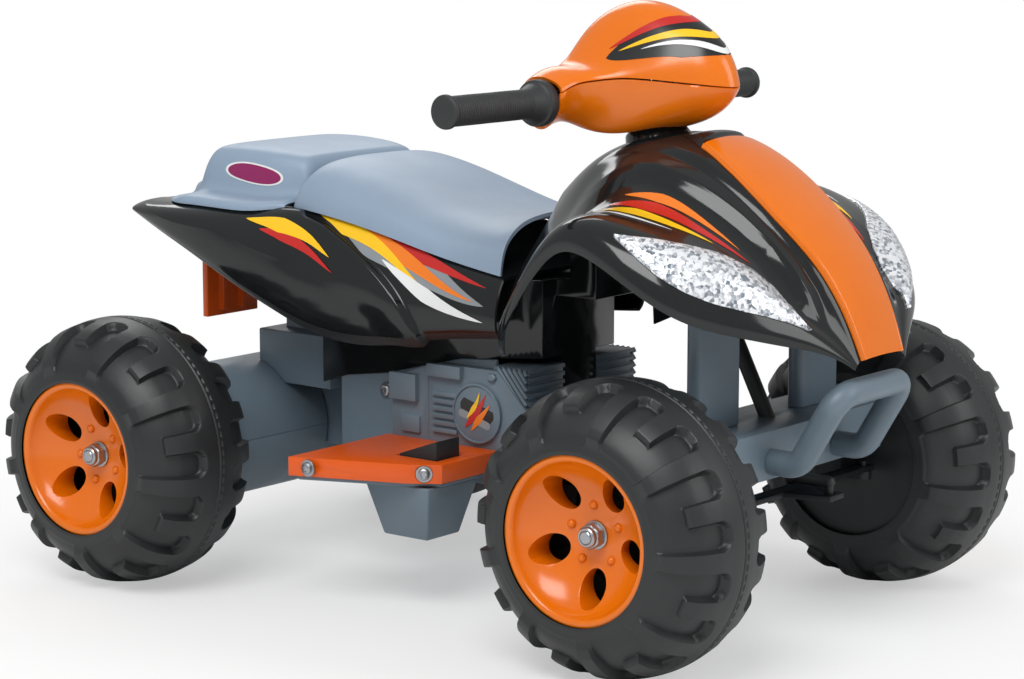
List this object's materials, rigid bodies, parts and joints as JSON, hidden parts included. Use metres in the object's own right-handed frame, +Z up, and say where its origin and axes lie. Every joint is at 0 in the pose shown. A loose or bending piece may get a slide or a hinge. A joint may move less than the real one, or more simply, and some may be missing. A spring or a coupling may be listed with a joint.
{
  "type": "ride-on quad bike",
  "caption": "Child's battery ride-on quad bike with a lift-off saddle, steered front wheels with a tie rod, a geared rear wheel, foot pedal, footrests, fairing and bumper.",
  "frame": {"origin": "on the ground under the middle of the bounding box", "axes": "+X forward along the vehicle, +Y to the rider's left, +Z up"},
  "size_m": [0.7096, 0.522, 0.4802],
  "materials": {
    "orange_shell": "moulded gloss orange",
    "orange_moulding": "satin moulded orange",
    "seat_grey": "satin light blue-grey",
    "chassis_grey": "satin blue-grey",
    "black_gloss": "moulded gloss black",
    "black_matte": "fine grained black",
    "tyre_plastic": "hard blow-moulded dark grey",
    "headlight_silver": "silvered facets",
    "zinc_steel": "zinc plated",
    "gear_white": "plain nylon"
  },
  "bodies": {
    "chassis": {"main_frame": "black_gloss", "chassis_tub": "chassis_grey", "rear_tower": "chassis_grey", "axle_housing_upper": "chassis_grey", "axle_housing_lower": "chassis_grey", "battery": "black_matte", "motor": "zinc_steel", "rear_axle": "zinc_steel", "axle_nuts_rear": "zinc_steel", "rear_body": "black_gloss", "tail_cowl": "seat_grey", "mud_flap": "orange_moulding", "front_fairing": "black_gloss", "hood_stripe": "orange_shell", "headlight_right": "headlight_silver", "headlight_left": "headlight_silver", "column_cover": "black_gloss", "front_beam": "chassis_grey", "post_right": "chassis_grey", "post_left": "chassis_grey", "bumper": "chassis_grey", "engine_panel_right": "chassis_grey", "engine_panel_left": "chassis_grey", "footrest_right": "orange_moulding", "footrest_left": "orange_moulding", "footrest_pan_right": "chassis_grey", "footrest_pan_left": "chassis_grey", "pedal_box": "chassis_grey", "pedal_switch": "black_matte", "pedal_spring": "zinc_steel", "footrest_screws": "zinc_steel", "switch_case": "black_matte"},
    "saddle": {"saddle": "seat_grey"},
    "handlebar": {"steering_shaft": "black_matte", "handlebar_tube": "zinc_steel", "cover_upper": "orange_shell", "cover_lower": "orange_shell", "grip_right": "black_matte", "grip_left": "black_matte"},
    "knuckle_right": {"knuckle_right": "zinc_steel", "axle_nut_front_right": "zinc_steel"},
    "knuckle_left": {"knuckle_left": "zinc_steel", "axle_nut_front_left": "zinc_steel"},
    "tie_rod": {"tie_rod": "zinc_steel"},
    "wheel_front_right": {"tyre_front_right": "tyre_plastic", "hub_cap_front_right": "orange_moulding", "hub_core_front_right": "chassis_grey"},
    "wheel_front_left": {"tyre_front_left": "tyre_plastic", "hub_cap_front_left": "orange_moulding", "hub_core_front_left": "chassis_grey"},
    "wheel_rear_right": {"tyre_rear_right": "tyre_plastic", "hub_cap_rear_right": "orange_moulding", "hub_core_rear_right": "chassis_grey", "drive_gear": "gear_white"},
    "wheel_rear_left": {"tyre_rear_left": "tyre_plastic", "hub_cap_rear_left": "orange_moulding", "hub_core_rear_left": "chassis_grey"},
    "pinion": {"motor_pinion": "zinc_steel"},
    "pedal": {"pedal": "black_matte"},
    "rocker": {"switch_rocker": "black_matte"}
  },
  "joints": [
    {"name": "steer", "type": "hinge", "parent": "chassis", "child": "handlebar", "pos_m": [0.25, 0, 0.165], "axis": [-0.454, 0, 0.891], "range_deg": [-20, 20]},
    {"name": "knuckle_turn_right", "type": "hinge", "parent": "chassis", "child": "knuckle_right", "pos_m": [0.245, -0.108, 0.11], "axis": [0, 0, 1], "range_deg": [-20, 20]},
    {"name": "knuckle_turn_left", "type": "hinge", "parent": "chassis", "child": "knuckle_left", "pos_m": [0.245, 0.108, 0.11], "axis": [0, 0, 1], "range_deg": [-20, 20]},
    {"name": "tie_turn", "type": "hinge", "parent": "knuckle_right", "child": "tie_rod", "pos_m": [0.271, -0.108, 0.1098], "axis": [0, 0, 1], "range_deg": [-20, 20]},
    {"name": "spin_front_right", "type": "hinge", "parent": "knuckle_right", "child": "wheel_front_right", "pos_m": [0.245, -0.184, 0.11], "axis": [0, 1, 0], "continuous": true},
    {"name": "spin_front_left", "type": "hinge", "parent": "knuckle_left", "child": "wheel_front_left", "pos_m": [0.245, 0.184, 0.11], "axis": [0, 1, 0], "continuous": true},
    {"name": "spin_rear_right", "type": "hinge", "parent": "chassis", "child": "wheel_rear_right", "pos_m": [-0.245, -0.204, 0.11], "axis": [0, 1, 0], "continuous": true},
    {"name": "spin_rear_left", "type": "hinge", "parent": "chassis", "child": "wheel_rear_left", "pos_m": [-0.245, 0.204, 0.11], "axis": [0, 1, 0], "continuous": true},
    {"name": "pinion_spin", "type": "hinge", "parent": "chassis", "child": "pinion", "pos_m": [-0.2075, -0.125, 0.11], "axis": [0, 1, 0], "continuous": true},
    {"name": "pedal_press", "type": "hinge", "parent": "chassis", "child": "pedal", "pos_m": [-0.002, -0.122, 0.1165], "axis": [0, 1, 0], "range_deg": [0, 9], "stiffness_Nm_per_rad": 0.6, "springref_deg": -8.59, "deforming": ["pedal_spring"]},
    {"name": "saddle_lift", "type": "slide", "parent": "chassis", "child": "saddle", "axis": [0, 0, 1], "range_m": [0, 0.06]},
    {"name": "rocker_tilt", "type": "hinge", "parent": "chassis", "child": "rocker", "pos_m": [-0.01, 0.059, 0.203], "axis": [0, 0, 1], "range_deg": [-9, 9]}
  ],
  "couplings": [
    {"joint": "knuckle_turn_right", "follows": "steer", "ratio": 1},
    {"joint": "knuckle_turn_left", "follows": "steer", "ratio": 1},
    {"joint": "tie_turn", "follows": "steer", "ratio": -1},
    {"joint": "pinion_spin", "follows": "spin_rear_right", "ratio": -4}
  ]
}
